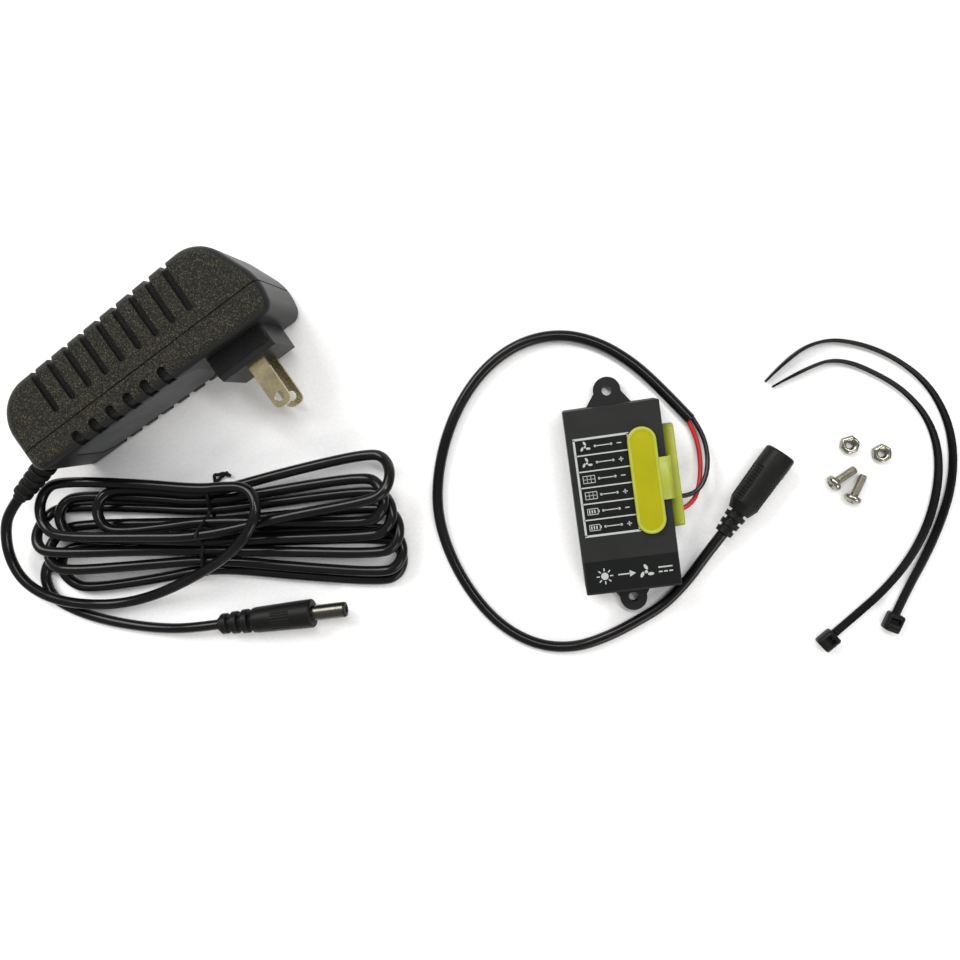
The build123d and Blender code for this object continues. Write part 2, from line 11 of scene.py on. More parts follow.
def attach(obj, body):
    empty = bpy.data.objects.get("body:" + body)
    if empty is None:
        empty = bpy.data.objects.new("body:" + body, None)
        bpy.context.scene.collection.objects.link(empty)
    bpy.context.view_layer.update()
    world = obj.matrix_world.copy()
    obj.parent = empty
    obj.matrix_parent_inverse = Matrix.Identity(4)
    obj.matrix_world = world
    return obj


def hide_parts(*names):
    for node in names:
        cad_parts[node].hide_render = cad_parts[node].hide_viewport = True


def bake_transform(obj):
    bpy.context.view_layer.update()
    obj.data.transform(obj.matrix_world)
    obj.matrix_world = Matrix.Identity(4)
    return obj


MM = 0.001
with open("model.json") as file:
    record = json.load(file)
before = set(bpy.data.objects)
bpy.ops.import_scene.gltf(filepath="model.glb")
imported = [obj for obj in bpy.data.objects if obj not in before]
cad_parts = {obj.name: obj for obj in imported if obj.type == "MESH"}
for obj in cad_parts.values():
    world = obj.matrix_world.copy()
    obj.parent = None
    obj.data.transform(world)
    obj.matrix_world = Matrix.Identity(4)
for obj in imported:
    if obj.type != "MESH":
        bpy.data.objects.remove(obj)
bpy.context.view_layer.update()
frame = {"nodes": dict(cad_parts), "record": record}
NODES = frame["nodes"]
TAU = 2 * math.pi


# ================================================================ camera, light, floor

CAMERA_AT = Vector((-12.6, 34.3, 300.0)) * MM
LOOK_AT = Vector((-47.3, 11.1, 0.0)) * MM
CAMERA_LEAN = math.radians(8.2)
LENS = 32.5


def add_camera():
    data = bpy.data.cameras.new("camera")
    data.lens = LENS
    data.sensor_width = 36.0
    data.clip_start = 0.005
    back = (CAMERA_AT - LOOK_AT).normalized()
    lean = Vector((math.sin(CAMERA_LEAN), math.cos(CAMERA_LEAN), 0.0))
    right = lean.cross(back).normalized()
    up = back.cross(right)
    camera = bpy.data.objects.new("camera", data)
    camera.matrix_world = Matrix((
        (right.x, up.x, back.x, CAMERA_AT.x), (right.y, up.y, back.y, CAMERA_AT.y),
        (right.z, up.z, back.z, CAMERA_AT.z), (0, 0, 0, 1)))
    bpy.context.scene.collection.objects.link(camera)
    bpy.context.scene.camera = camera


def area_light(name, at, target, size, power, tint=(1.0, 1.0, 1.0)):
    data = bpy.data.lights.new(name, "AREA")
    data.shape = "RECTANGLE"
    data.size, data.size_y = size
    data.energy = power
    data.color = tint
    lamp = bpy.data.objects.new(name, data)
    lamp.location = Vector(at)
    lamp.rotation_euler = (Vector(target) - Vector(at)).to_track_quat("-Z", "Y").to_euler()
    bpy.context.scene.collection.objects.link(lamp)


def add_light():
    scene = bpy.context.scene
    scene.view_settings.view_transform = "Standard"
    world = bpy.data.worlds.new("studio")
    world.use_nodes = True
    world.node_tree.nodes["Background"].inputs["Color"].default_value = (1.0, 1.0, 1.0, 1.0)
    world.node_tree.nodes["Background"].inputs["Strength"].default_value = 0.42
    scene.world = world
    area_light("window", (-0.55, 0.75, 0.75), (-0.03, 0.0, 0.0), (0.7, 0.5), 11.5, (1.0, 0.985, 0.96))
    area_light("ceiling_strip", (0.25, 0.35, 0.9), (-0.05, 0.0, 0.0), (0.9, 0.12), 6.0)
    area_light("front_fill", (0.35, -0.8, 0.6), (-0.05, 0.0, 0.0), (0.6, 0.4), 4.5, (1.0, 0.97, 0.9))


def add_floor():
    mesh = bpy.data.meshes.new("floor")
    reach = 1.6
    step = 0.0001
    corners = [(-reach, -reach, -step), (reach, -reach, -step), (reach, reach, -step), (-reach, reach, -step)]
    mesh.from_pydata(corners, [], [(0, 1, 2, 3)])
    floor = bpy.data.objects.new("floor", mesh)
    bpy.context.scene.collection.objects.link(floor)
    floor.data.materials.append(plain_material("floor_white", (0.88, 0.88, 0.885), 0.9))


# ================================================================ materials

class Shader:
    """A Principled material with small helpers for its node chain."""

    def __init__(self, name, color, roughness, metallic=0.0):
        self.material = bpy.data.materials.new(name)
        self.material.use_nodes = True
        self.tree = self.material.node_tree
        self.bsdf = self.tree.nodes["Principled BSDF"]
        self.bsdf.inputs["Base Color"].default_value = (*color, 1.0)
        self.bsdf.inputs["Roughness"].default_value = roughness
        self.bsdf.inputs["Metallic"].default_value = metallic
        self.coords = self.tree.nodes.new("ShaderNodeTexCoord")

    def node(self, kind, **values):
        made = self.tree.nodes.new(kind)
        for key, value in values.items():
            if key in made.inputs:
                made.inputs[key].default_value = value
            else:
                setattr(made, key, value)
        return made

    def link(self, source, target):
        self.tree.links.new(source, target)

    def noise(self, scale, detail=3.0, roughness=0.55):
        made = self.node("ShaderNodeTexNoise", Scale=scale, Detail=detail, Roughness=roughness)
        self.link(self.coords.outputs["Object"], made.inputs["Vector"])
        return made.outputs["Fac"]

    def ramp(self, source, stops):
        made = self.node("ShaderNodeValToRGB")
        elements = made.color_ramp.elements
        while len(elements) < len(stops):
            elements.new(0.5)
        for element, (place, color) in zip(elements, stops):
            element.position = place
            element.color = (*color, 1.0) if len(color) == 3 else color
        self.link(source, made.inputs["Fac"])
        return made.outputs["Color"]

    def spread(self, source, low, high):
        made = self.node("ShaderNodeMapRange")
        made.inputs["To Min"].default_value = low
        made.inputs["To Max"].default_value = high
        self.link(source, made.inputs["Value"])
        return made.outputs["Result"]

    def color_from(self, source, stops):
        self.link(self.ramp(source, stops), self.bsdf.inputs["Base Color"])

    def rough_from(self, source, low, high):
        self.link(self.spread(source, low, high), self.bsdf.inputs["Roughness"])

    def bump(self, source, height, strength=1.0):
        made = self.node("ShaderNodeBump", Distance=height, Strength=strength)
        self.link(source, made.inputs["Height"])
        previous = self.bsdf.inputs["Normal"].links
        if previous:
            self.link(previous[0].from_socket, made.inputs["Normal"])
        self.link(made.outputs["Normal"], self.bsdf.inputs["Normal"])


def plain_material(name, color, roughness, metallic=0.0):
    shader = Shader(name, color, roughness, metallic)
    fine = shader.noise(900.0)
    dim = tuple(channel * 0.93 for channel in color)
    shader.color_from(fine, [(0.3, dim), (0.7, color)])
    return shader.material


def moulded(name, color, roughness, grain=2600.0, depth=0.00004, wear=1.35):
    """Moulded plastic: fine grain, faint mottling and a little polish from handling."""
    shader = Shader(name, color, roughness)
    broad = shader.noise(60.0, 4.0)
    bright = tuple(min(channel * wear, 1.0) for channel in color)
    shader.color_from(broad, [(0.3, color), (0.75, bright)])
    shader.rough_from(shader.noise(110.0, 5.0), roughness - 0.07, roughness + 0.08)
    shader.bump(shader.noise(grain, 2.0), depth, 0.6)
    shader.bsdf.inputs["Specular IOR Level"].default_value = 0.12
    return shader.material


def spark_plastic():
    """The supply's shell: coarse spark texture on its flat sides with painted warm glints in its speckle,
    painted shade on the vent groove floors, satin ends and front.
    """
    shader = Shader("spark_plastic", (0.02, 0.02, 0.02), 0.42)
    speck = shader.noise(2900.0, 2.0, 0.6)
    broad = shader.noise(45.0, 2.0)
    # The speckle runs from dark tone to a warm brightest stop; that warm stop is a painted glint, standing
    # for highlights on the spark grains.
    speck_glint_stops = [(0.44, (0.005, 0.005, 0.0045)), (0.57, (0.019, 0.018, 0.0115)), (0.68, (0.1, 0.091, 0.055))]
    grain_glint_color = shader.ramp(speck, speck_glint_stops)
    smooth_color = shader.ramp(broad, [(0.3, (0.009, 0.0095, 0.0098)), (0.7, (0.013, 0.0135, 0.0138))])
    geometry = shader.node("ShaderNodeNewGeometry")
    split = shader.node("ShaderNodeSeparateXYZ")
    shader.link(geometry.outputs["Normal"], split.inputs["Vector"])
    steep = shader.node("ShaderNodeMath", operation="ABSOLUTE")
    shader.link(split.outputs["Z"], steep.inputs[0])
    flat = shader.node("ShaderNodeMapRange")
    flat.inputs["From Min"].default_value = 0.72
    flat.inputs["From Max"].default_value = 0.97
    shader.link(steep.outputs["Value"], flat.inputs["Value"])
    mix = shader.node("ShaderNodeMix", data_type="RGBA")
    shader.link(flat.outputs["Result"], mix.inputs["Factor"])
    shader.link(smooth_color, mix.inputs["A"])
    shader.link(grain_glint_color, mix.inputs["B"])
    for socket in mix.inputs:
        if socket.type == "RGBA" and not socket.is_linked:
            source = smooth_color if socket.name == "A" else grain_glint_color
            shader.link(source, socket)
    result = [socket for socket in mix.outputs if socket.type == "RGBA"][0]
    # Painted shade: the vent groove floors, below the flat sides' surface, are painted near black to stand
    # for the shade inside the deep grooves.
    place = shader.node("ShaderNodeSeparateXYZ")
    shader.link(shader.coords.outputs["Object"], place.inputs["Vector"])
    level = shader.node("ShaderNodeMath", operation="SUBTRACT")
    level.inputs[1].default_value = 0.017
    shader.link(place.outputs["Z"], level.inputs[0])
    off = shader.node("ShaderNodeMath", operation="ABSOLUTE")
    shader.link(level.outputs["Value"], off.inputs[0])
    open_face = shader.node("ShaderNodeMapRange")
    open_face.inputs["From Min"].default_value = 0.01615
    open_face.inputs["From Max"].default_value = 0.0165
    shader.link(off.outputs["Value"], open_face.inputs["Value"])
    deep = shader.node("ShaderNodeMath", operation="SUBTRACT")
    deep.inputs[0].default_value = 1.0
    shader.link(open_face.outputs["Result"], deep.inputs[1])
    painted_groove_shade = shader.node("ShaderNodeMath", operation="MULTIPLY")
    shader.link(deep.outputs["Value"], painted_groove_shade.inputs[0])
    shader.link(flat.outputs["Result"], painted_groove_shade.inputs[1])
    shade = shader.node("ShaderNodeMix", data_type="RGBA")
    shader.link(painted_groove_shade.outputs["Value"], shade.inputs[0])
    for socket in shade.inputs:
        if socket.type == "RGBA" and socket.name == "A":
            shader.link(result, socket)
        if socket.type == "RGBA" and socket.name == "B":
            socket.default_value = (0.0015, 0.0015, 0.0015, 1.0)
    result = [socket for socket in shade.outputs if socket.type == "RGBA"][0]
    shader.link(result, shader.bsdf.inputs["Base Color"])
    height = shader.node("ShaderNodeMath", operation="MULTIPLY")
    shader.link(speck, height.inputs[0])
    shader.link(flat.outputs["Result"], height.inputs[1])
    shader.bump(height.outputs["Value"], 0.00045, 0.9)
    shader.rough_from(shader.noise(90.0, 4.0), 0.33, 0.46)
    shader.bsdf.inputs["Specular IOR Level"].default_value = 0.14
    return shader.material


def silicone():
    shader = Shader("silicone_yellow_green", (0.4, 0.37, 0.006), 0.45)
    broad = shader.noise(70.0, 3.0)
    shader.color_from(broad, [(0.25, (0.265, 0.255, 0.001)), (0.75, (0.31, 0.295, 0.0012))])
    shader.rough_from(shader.noise(300.0, 3.0), 0.34, 0.5)
    shader.bump(shader.noise(1500.0, 2.0), 0.00003, 0.5)
    shader.bsdf.inputs["Subsurface Weight"].default_value = 0.12
    shader.bsdf.inputs["Subsurface Radius"].default_value = (0.001, 0.001, 0.0003)
    shader.bsdf.inputs["Specular IOR Level"].default_value = 0.16
    return shader.material


# A lighter copy of the silicone: a painted highlight, standing for light falling on rounded rims and flat
# tops.
def silicone_rim(name, low, high):
    shader = Shader(name, high, 0.4)
    broad = shader.noise(200.0, 3.0)
    shader.color_from(broad, [(0.25, low), (0.75, high)])
    shader.bump(shader.noise(1500.0, 2.0), 0.00003, 0.5)
    return shader.material


def cord_jacket(name, color, low=0.16, high=0.3):
    shader = Shader(name, color, low)
    shader.rough_from(shader.noise(160.0, 4.0), low, high)
    haze = shader.noise(45.0, 3.0)
    bright = tuple(channel * 1.7 + 0.001 for channel in color)
    shader.color_from(haze, [(0.35, color), (0.8, bright)])
    shader.bump(shader.noise(420.0, 2.0), 0.00008, 0.35)
    shader.bsdf.inputs["Coat Weight"].default_value = 0.08
    shader.bsdf.inputs["Specular IOR Level"].default_value = 0.17
    shader.bsdf.inputs["Coat Roughness"].default_value = 0.12
    return shader.material


def metal(name, color, roughness, scratches=900.0, dull=0.72):
    shader = Shader(name, color, roughness, 1.0)
    fine = shader.noise(scratches, 4.0)
    dim = tuple(channel * dull for channel in color)
    shader.color_from(shader.noise(120.0, 4.0), [(0.3, dim), (0.7, color)])
    shader.rough_from(fine, roughness * 0.75, roughness * 1.5)
    shader.bump(fine, 0.00002, 0.5)
    return shader.material


MATERIALS = {}


def make_materials():
    MATERIALS.update({
        "case_plastic": moulded("case_abs", (0.0125, 0.0135, 0.0128), 0.55, 3200.0, 0.00005),
        "panel_black": moulded("panel_black", (0.004, 0.0043, 0.0044), 0.5, 3200.0, 0.00002),
        "print_grey": plain_material("print_grey", (0.36, 0.38, 0.36), 0.6),
        "silicone": silicone(),
        # Painted highlight: the rim copy is lighter than the silicone to stand for light on the pill's
        # rounded rim and the seal.
        "silicone_rim": silicone_rim("silicone_lit_rim_copy", (0.27, 0.3, 0.022), (0.34, 0.36, 0.036)),
        # Painted highlight: the web copy is lighter and paler than the silicone to stand for light on the
        # web's flat top.
        "silicone_web": silicone_rim("silicone_lit_web_copy", (0.23, 0.27, 0.018), (0.3, 0.33, 0.03)),
        "terminal_plastic": moulded("terminal_green", (0.03, 0.16, 0.06), 0.45),
        "tinned_brass": metal("tinned_brass", (0.62, 0.58, 0.48), 0.3),
        "zinc_steel": metal("zinc_steel", (0.66, 0.66, 0.64), 0.32),
        "circuit_board": moulded("solder_mask", (0.02, 0.13, 0.05), 0.35, 1800.0, 0.00003),
        "chip_epoxy": moulded("chip_epoxy", (0.02, 0.02, 0.022), 0.6),
        "capacitor_can": moulded("capacitor_sleeve", (0.03, 0.035, 0.08), 0.3),
        "cord_pvc": cord_jacket("cord_pvc", (0.003, 0.003, 0.0033)),
        "wire_black": cord_jacket("wire_black", (0.008, 0.008, 0.0085), 0.2, 0.35),
        "wire_red": cord_jacket("wire_red", (0.3, 0.015, 0.025), 0.28, 0.42),
        "bare_copper": metal("bare_copper", (0.85, 0.5, 0.32), 0.35),
        "moulded_pvc": moulded("moulded_pvc", (0.005, 0.0053, 0.005), 0.42, 1600.0, 0.00008),
        "insulator": moulded("insulator", (0.012, 0.012, 0.013), 0.45),
        "nickel": metal("nickel", (0.12, 0.117, 0.102), 0.24),
        "supply_plastic": spark_plastic(),
        "label_film": moulded("label_film", (0.045, 0.047, 0.049), 0.42, 1200.0, 0.00003),
        "blade_brass": metal("blade_brass", (0.62, 0.53, 0.33), 0.24, 1400.0, 0.55),
        "ferrite": moulded("ferrite", (0.05, 0.05, 0.055), 0.6),
        "coil_tape": moulded("coil_tape", (0.55, 0.42, 0.05), 0.3),
        "sink_aluminium": metal("sink_aluminium", (0.75, 0.75, 0.76), 0.35),
        "fuse_glass": moulded("fuse_can", (0.2, 0.06, 0.04), 0.3),
        "tie_wire": moulded("tie_wire", (0.008, 0.008, 0.008), 0.5),
        "tie_nylon": moulded("tie_nylon", (0.005, 0.005, 0.0053), 0.38, 1500.0, 0.00003),
        "bright_steel": metal("bright_steel", (0.32, 0.3, 0.25), 0.2, 1800.0, 0.8),
    })


def paint_cad_nodes():
    for row in frame["record"]["subparts"]:
        node = NODES[row["node"]]
        node.data.materials.clear()
        node.data.materials.append(MATERIALS[row["material_slot"]])


# ================================================================ mesh helpers

def link_piece(obj, material, body="kit"):
    bpy.context.scene.collection.objects.link(obj)
    if material:
        obj.data.materials.append(MATERIALS[material])
    if body:
        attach(obj, body)
    return obj


def piece(name, verts, faces, material, body="kit", smooth=True, place=None):
    mesh = bpy.data.meshes.new(name)
    mesh.from_pydata([tuple(v) for v in verts], [], faces)
    work = bmesh.new()
    work.from_mesh(mesh)
    bmesh.ops.remove_doubles(work, verts=work.verts, dist=1e-7)
    bmesh.ops.recalc_face_normals(work, faces=work.faces)
    work.to_mesh(mesh)
    work.free()
    if place is not None:
        mesh.transform(place)
    for polygon in mesh.polygons:
        polygon.use_smooth = smooth
    obj = bpy.data.objects.new(name, mesh)
    return link_piece(obj, material, body)


def rings_to_mesh(rings, caps=True, closed=False):
    """Quads between equal rings of points."""
    count = len(rings[0])
    verts = [point for ring in rings for point in ring]
    faces = []
    total = len(rings)
    for i in range(total if closed else total - 1):
        j = (i + 1) % total
        for k in range(count):
            m = (k + 1) % count
            faces.append((i * count + k, i * count + m, j * count + m, j * count + k))
    if caps and not closed:
        faces.append(tuple(range(count)))
        faces.append(tuple((total - 1) * count + k for k in range(count)))
    return verts, faces


def pose(at, direction, roll_hint=(0, 0, 1)):
    """A matrix that puts +X along direction at a place."""
    x = Vector(direction).normalized()
    y = Vector(roll_hint).cross(x).normalized()
    z = x.cross(y)
    return Matrix(((x.x, y.x, z.x, at[0]), (x.y, y.y, z.y, at[1]), (x.z, y.z, z.z, at[2]), (0, 0, 0, 1)))


# ================================================================ cords

CORD_D = 3.75 * MM
WIRE_D = 1.6 * MM

LEAD_ROUTE = [
    (31.9, -17.2, 5.3), (25.2, -24.6, 3.8), (18.6, -32.6, 2.1), (9.8, -40.0, 1.95),
    (0.4, -44.4, 1.95), (-10.0, -48.6, 1.95), (-22.0, -51.4, 1.95), (-34.4, -49.4, 1.95),
    (-45.6, -42.2, 1.95), (-54.2, -31.0, 1.95), (-60.6, -16.6, 1.95), (-63.6, -1.0, 1.95),
    (-62.2, 12.4, 1.95), (-57.4, 26.4, 1.95), (-50.0, 39.0, 1.95), (-39.6, 49.6, 1.95),
    (-27.0, 56.0, 1.95), (-13.6, 57.0, 1.95), (-1.4, 52.6, 1.95), (9.4, 44.2, 1.95),
    (18.6, 33.0, 1.95), (26.3, 22.2, 1.95),
]
BLACK_ROUTE = [
    (27.0, 22.7, 1.95), (29.2, 18.2, 2.2), (30.4, 12.2, 3.2), (29.9, 5.8, 4.8),
    (27.4, 0.4, 6.6), (23.6, -2.5, 7.5), (18.0, -2.62, 7.6), (12.4, -2.62, 7.6),
]
RED_ROUTE = [
    (25.6, 21.7, 1.95), (27.2, 17.6, 1.6), (28.0, 12.0, 1.8), (27.8, 6.0, 2.6),
    (26.4, -0.2, 4.0), (23.8, -5.0, 6.0), (18.4, -7.6, 7.5), (12.6, -7.7, 7.6),
]
CORD_OUT_ROUTE = [
    (-208.97, 27.61, 13.8), (-215.2, 22.9, 12.4), (-219.8, 15.4, 9.4), (-221.4, 6.6, 7.4),
    (-218.4, -2.0, 7.2), (-211.6, -8.4, 7.2), (-203.0, -12.6, 6.6), (-193.4, -15.4, 3.6),
    (-182.6, -16.0, 2.2), (-172.0, -14.6, 2.6), (-161.8, -12.0, 5.4), (-152.0, -8.6, 10.2),
    (-142.0, -4.6, 14.6), (-132.4, 0.4, 16.0), (-125.0, 6.8, 16.0), (-122.2, 14.8, 15.2),
    (-126.4, 20.6, 13.6), (-135.6, 21.6, 12.0),
]
CORD_TAIL_ROUTE = [
    (-210.2, 3.0, 2.0), (-213.2, -3.8, 2.0), (-210.8, -11.2, 2.0),
    (-203.0, -16.8, 2.0), (-192.4, -21.6, 2.0), (-180.4, -25.2, 2.0), (-168.4, -27.4, 3.0),
    (-157.4, -27.8, 4.9), (-147.6, -27.6, 5.1),
]

HANK_AT = Vector((-142.0, 7.6))
HANK_TURN = math.radians(-4.9)
# Half turns in order, every other one on the left: reach along, top and bottom strand across.
HANK_TURNS = [
    (65.5, 19.2, -0.6), (65.2, 23.4, 7.6), (43.0, 15.4, 0.2), (62.5, 15.2, -0.4),
    (59.2, 13.4, -2.0), (64.6, 10.2, -5.2), (67.0, 9.4, -6.4), (66.4, 4.0, -11.6),
    (63.6, 2.4, -13.4), (66.6, -3.2, -19.0), (61.2, -4.6, -21.4), (65.8, -7.0, -22.6),
    (66.5, -6.4, -22.0),
]
# Where the strand crosses the tied waist, before each half turn.
HANK_WAIST = [14.0, -2.6, 11.4, 2.2, 8.4, -5.0, 5.2, -8.4, 1.2, -11.8, -2.4, -15.0, -6.2]
WAIST_AT = -4.0
LIE_Z = 1.95
TIE_D = 1.2


def hank_point(along, across, height=LIE_Z):
    c, s = math.cos(HANK_TURN), math.sin(HANK_TURN)
    return (HANK_AT.x + along * c - across * s, HANK_AT.y + along * s + across * c, height)


def hank_route():
    """The hank's turns: half turns left and right of the tied waist, fanned out on both sides."""
    points = []
    for index, (reach, top, bottom) in enumerate(HANK_TURNS):
        side = -1 if index % 2 == 0 else 1
        enter, leave = (top, bottom) if side < 0 else (bottom, top)
        half, middle = (top - bottom) / 2, (top + bottom) / 2
        points.append(hank_point(WAIST_AT, HANK_WAIST[index]))
        centre = side * (reach - half)
        points.append(hank_point(centre * 0.48, HANK_WAIST[index] * 0.42 + enter * 0.58))
        last = index == len(HANK_TURNS) - 1
        for angle in (90, 45, 0, -45, -90)[:3 if last else 5]:
            turn = math.radians(angle if side < 0 else -angle)
            points.append(hank_point(centre + side * half * math.cos(turn), middle + half * math.sin(turn)))
        if not last:
            points.append(hank_point(centre * 0.48, HANK_WAIST[index + 1] * 0.42 + leave * 0.58))
    return points


def settle(points, lifted_start, lifted_end, on_top):
    """Lay the cord down: a strand rests on the floor, on the tie or on the strands wound after it."""
    spots = np.array(points)
    count = len(spots)
    weights = []
    for span in range(count - 2):
        for t in (0.1, 0.3, 0.5, 0.7, 0.9):
            row = np.zeros(count)
            row[span:span + 3] = ((1 - t) ** 2 / 2, 0.5 + t - t * t, t * t / 2)
            weights.append(row)
    weights = np.array(weights)
    plan = weights @ spots[:, :2]
    total = len(plan)
    gap = np.hypot(*(plan[:, None, axis] - plan[None, :, axis] for axis in (0, 1)))
    first, second = np.nonzero((gap < CORD_D / MM) & (np.subtract.outer(range(total), range(total)) < -12))
    room = np.full(len(first), CORD_D / MM) + np.where(first < on_top * 5, TIE_D + 0.1, 0.0)
    need = np.sqrt(room ** 2 - gap[first, second] ** 2)
    along = (spots[:, 0] - HANK_AT.x) * math.cos(HANK_TURN) + (spots[:, 1] - HANK_AT.y) * math.sin(HANK_TURN)
    bundle = np.abs((spots[:, 1] - HANK_AT.y) * math.cos(HANK_TURN)) < 18
    floor = LIE_Z + np.where(bundle, TIE_D * np.exp(-((along - WAIST_AT) / 13.0) ** 2), 0.0)
    free = np.ones(count, bool)
    free[:lifted_start] = False
    free[count - lifted_end:] = False
    height = np.where(free, floor, spots[:, 2])
    for step in range(300):
        level = weights @ height
        push = np.zeros(total)
        np.maximum.at(push, first, need - (level[first] - level[second]))
        lift = (weights.T @ push) / np.maximum(weights.T @ (push > 1e-6), 1e-6)
        height = np.where(free, height + 0.9 * lift, height)
        if step < 200:
            soft = height.copy()
            soft[1:-1] = 0.12 * height[:-2] + 0.76 * height[1:-1] + 0.12 * height[2:]
            height = np.where(free, np.maximum(soft - 0.2, floor), height)
    return [(x, y, z) for (x, y, _), z in zip(spots, height)]


def nurbs_cord(name, points, diameter, material):
    data = bpy.data.curves.new(name, "CURVE")
    data.dimensions = "3D"
    data.bevel_depth = diameter / 2
    data.bevel_resolution = 6
    data.use_fill_caps = True
    data.resolution_u = 8
    spline = data.splines.new("NURBS")
    spline.points.add(len(points) - 1)
    for target, point in zip(spline.points, points):
        target.co = (point[0] * MM, point[1] * MM, point[2] * MM, 1.0)
    spline.order_u = 3
    spline.use_endpoint_u = True
    obj = bpy.data.objects.new(name, data)
    return link_piece(obj, material)


def add_cords():
    lead = nurbs_cord("lead_jacket_cord", LEAD_ROUTE, CORD_D, "cord_pvc")
    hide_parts("lead_jacket")
    black = nurbs_cord("black_wire", BLACK_ROUTE, WIRE_D, "wire_black")
    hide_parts("lead_wire_black")
    red = nurbs_cord("red_wire", RED_ROUTE, WIRE_D, "wire_red")
    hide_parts("lead_wire_red")
    route = settle(CORD_OUT_ROUTE + hank_route() + CORD_TAIL_ROUTE, 8, 4, len(CORD_OUT_ROUTE) - 1)
    supply = nurbs_cord("supply_cord", route, CORD_D, "cord_pvc")
    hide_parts("supply_cord_out", "supply_cord_hank", "supply_cord_tail")
    return lead, black, red, supply


# ================================================================ turned and moulded pieces

def turned(name, profile, place, material, detail=None, around=120, step=0.25, body="kit"):
    """A body of revolution along +X, in millimetres; detail(x, angle) is taken off its radius."""
    stations = []
    for (x0, r0), (x1, r1) in zip(profile, profile[1:]):
        count = max(1, math.ceil(max(abs(x1 - x0), abs(r1 - r0)) / step))
        stations += [(x0 + (x1 - x0) * i / count, r0 + (r1 - r0) * i / count) for i in range(count)]
    stations.append(profile[-1])
    rings = []
    for x, r in stations:
        ring = []
        for k in range(around):
            angle = TAU * k / around
            radius = r - (detail(x, r, angle) if detail else 0.0)
            ring.append((x * MM, radius * math.cos(angle) * MM, radius * math.sin(angle) * MM))
        rings.append(ring)
    verts, faces = rings_to_mesh(rings)
    return piece(name, verts, faces, material, body=body, place=place)


def window(angle, centre, half):
    """1 inside an arc of the turn, 0 outside it."""
    away = abs((angle - centre + math.pi) % TAU - math.pi)
    return 1.0 if away < half else 0.0


JACK_AT = (53.8 * MM, 7.1 * MM, 5.3 * MM)
JACK_WAY = (math.cos(math.radians(48.0)), math.sin(math.radians(48.0)), 0.0)
PLUG_AT = (-147.6 * MM, -27.6 * MM, 5.1 * MM)


def jack_grip(x, r, angle):
    if not -20.3 < x < -7.2 or r < 4.5:
        return 0.0
    along = -x - 7.2
    if window(angle, math.radians(152), 0.52):
        cut = max(math.sin(along * 4.6 + angle * 22.0), math.sin(along * 4.6 - angle * 22.0))
        return 0.12 + 0.2 * max(cut, 0.0)
    if window(angle, math.radians(28), 0.5):
        return 0.12 + 0.28 * (math.sin(along * 5.4) > 0.1)
    return 0.0


def plug_grip(x, r, angle):
    if 20.6 < x < 27.6 and window(angle, math.pi / 2, 0.75):
        return 0.2 * max(math.sin(x * 6.8) + math.sin(angle * 26.0), 0.0)
    return 0.0


def add_connectors():
    profile = [(-11.0, 3.6), (0.0, 3.6), (0.0, 4.7), (-0.5, 5.2), (-4.6, 5.3), (-20.5, 5.1), (-24.0, 3.7)]
    for index in range(3):
        x = -24.0 - 2.9 * index
        size = 3.6 - 0.28 * index
        profile += [(x, 2.3), (x - 0.9, 2.3), (x - 1.0, size), (x - 2.8, size - 0.12)]
    profile += [(-32.7, 2.1), (-32.7, 1.9)]
    at = pose(JACK_AT, JACK_WAY)
    jack = turned("jack_grip", profile, at, "moulded_pvc", jack_grip, 180, 0.2)
    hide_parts("jack_body")
    profile = [(0.0, 1.9), (0.0, 2.5)]
    for index in range(3):
        x = 1.0 + 4.0 * index
        size = 3.7 + 0.3 * index
        profile += [(x, 2.5), (x + 0.05, size - 0.2), (x + 0.3, size), (x + 2.1, size), (x + 2.4, size - 0.2)]
        profile += [(x + 2.45, 2.5)]
    profile += [(12.8, 2.5), (12.9, 4.2), (13.2, 4.4), (14.5, 4.6), (30.0, 5.05), (34.6, 5.1), (35.1, 4.8)]
    profile += [(35.2, 4.4), (35.2, 2.75), (30.0, 2.75)]
    at = pose(PLUG_AT, (1, 0, 0))
    plug = turned("plug_grip", profile, at, "moulded_pvc", plug_grip, 160, 0.2)
    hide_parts("plug_body")
    return jack, plug


SUPPLY_TURN = math.radians(26.5)


def supply_point(along, back, up):
    c, s = math.cos(SUPPLY_TURN), math.sin(SUPPLY_TURN)
    return Vector((-187.0 + along * c - back * s, 44.0 + along * s + back * c, up)) * MM


def add_boot():
    root, tip = supply_point(-2.6, -0.4, 17.2), supply_point(-27.0, -4.9, 13.8)
    length = (tip - root).length / MM
    profile = [(-2.2, 5.5), (-0.9, 5.5), (-0.8, 4.2), (2.4, 4.2), (2.6, 2.9)]
    for index in range(6):
        x = 3.9 + 3.4 * index
        size = 4.15 - 0.16 * index
        profile += [(x, 2.9 - 0.1 * index), (x + 0.1, size - 0.3), (x + 0.4, size), (x + 1.7, size)]
        profile += [(x + 2.0, size - 0.3), (x + 2.1, 2.9 - 0.1 * index)]
    profile += [(length, 2.3), (length, 1.8)]
    boot = turned("boot_ribs", profile, pose(root, tip - root), "moulded_pvc", None, 72, 0.4)
    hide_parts("cord_boot")
    return boot


# ================================================================ controller's cover and print

ROW_MID = 5.0
PITCH = 5.08
PILL_X = 8.4


def stadium(half_w, half_l, z, count=96):
    ring = []
    for k in range(count):
        angle = TAU * (k + 0.5) / count
        straight = half_l - half_w
        y = ROW_MID + half_w * math.sin(angle) + math.copysign(straight, math.sin(angle))
        ring.append(((PILL_X + half_w * math.cos(angle)) * MM, y * MM, z * MM))
    return ring


